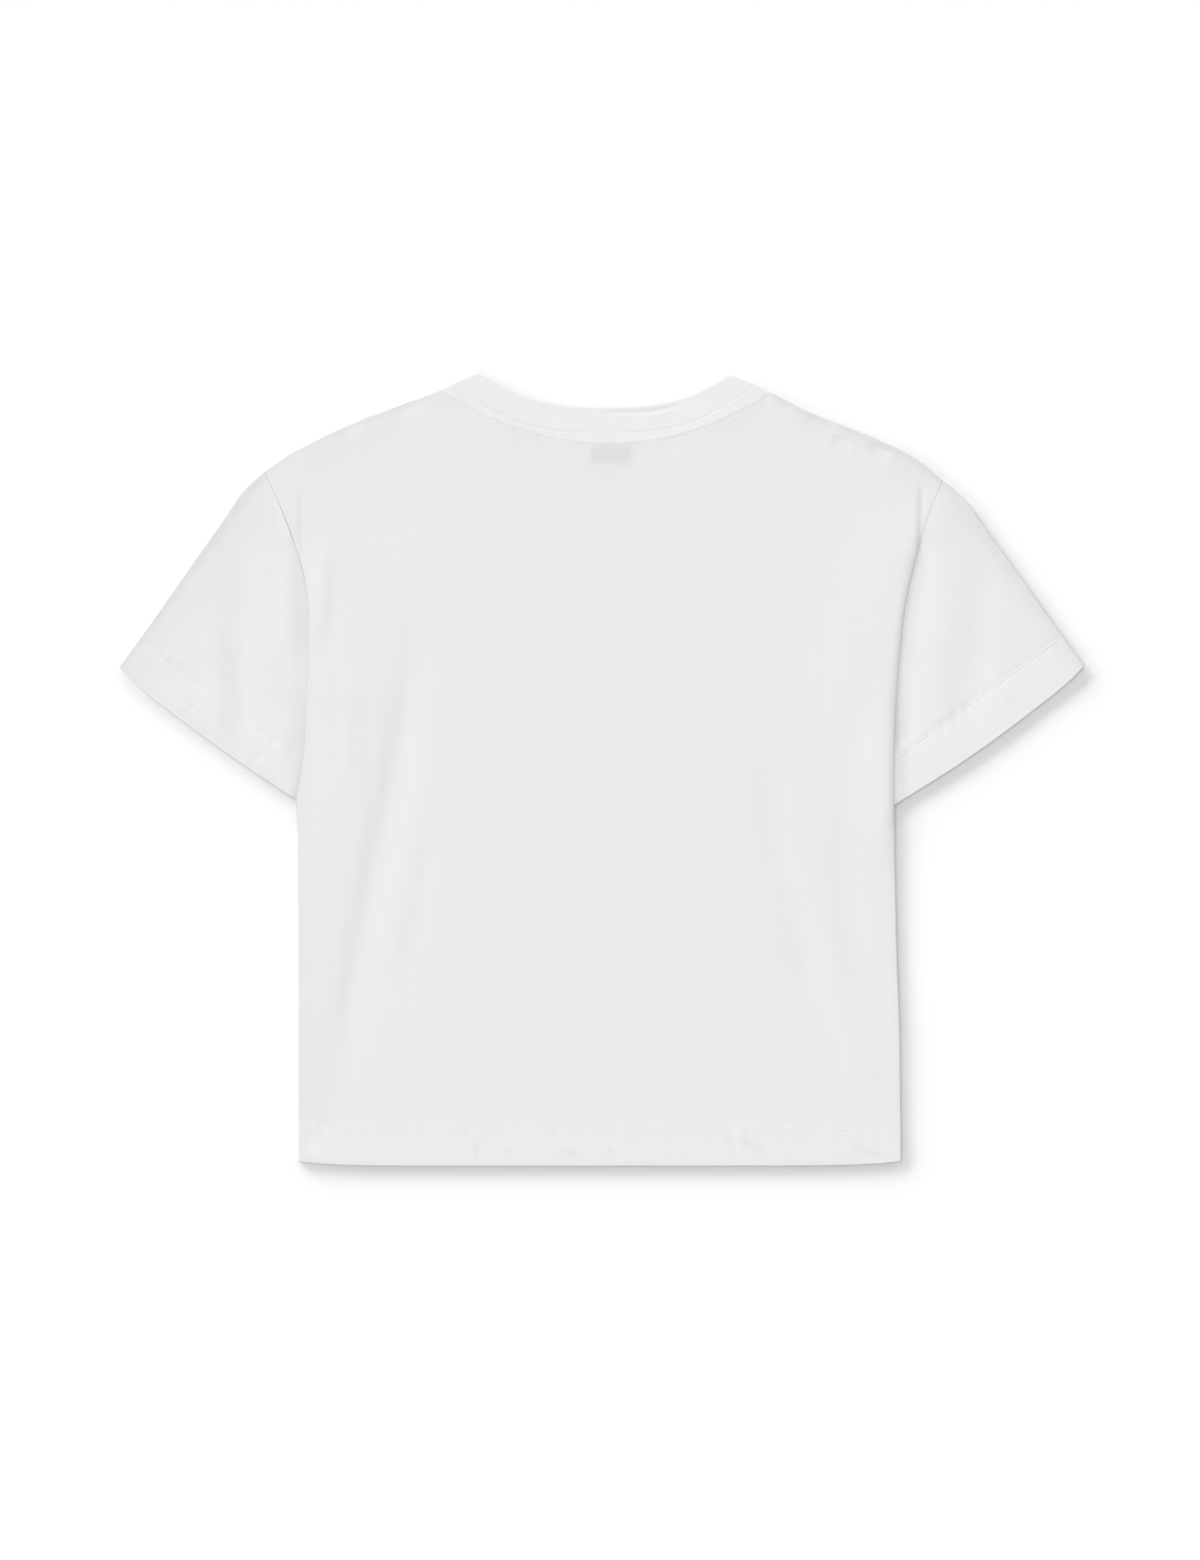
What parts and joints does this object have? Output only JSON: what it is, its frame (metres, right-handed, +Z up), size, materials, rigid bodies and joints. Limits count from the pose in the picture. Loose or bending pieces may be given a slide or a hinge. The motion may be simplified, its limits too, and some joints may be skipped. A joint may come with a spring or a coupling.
{
  "type": "t-shirt",
  "caption": "Cropped boxy crew-neck T-shirt in plain white jersey, laid out flat face down with its back up, short sleeves spread to the sides.",
  "frame": {"origin": "on the surface that the shirt lies on, below the middle of its bounding box", "axes": "+X across the shirt from its left sleeve to its right as seen from above, +Y from hem to neck, +Z up through the front to the back"},
  "size_m": [0.731, 0.6018, 0.0063],
  "materials": {
    "jersey": "matte",
    "rib": "matte",
    "tape": "matte",
    "label": "matte"
  },
  "bodies": {
    "root": {"front_panel": "jersey", "back_panel": "jersey", "sleeve_left": "jersey", "sleeve_right": "jersey", "collar": "rib", "neck_tape": "tape", "neck_label": "label"}
  },
  "joints": []
}
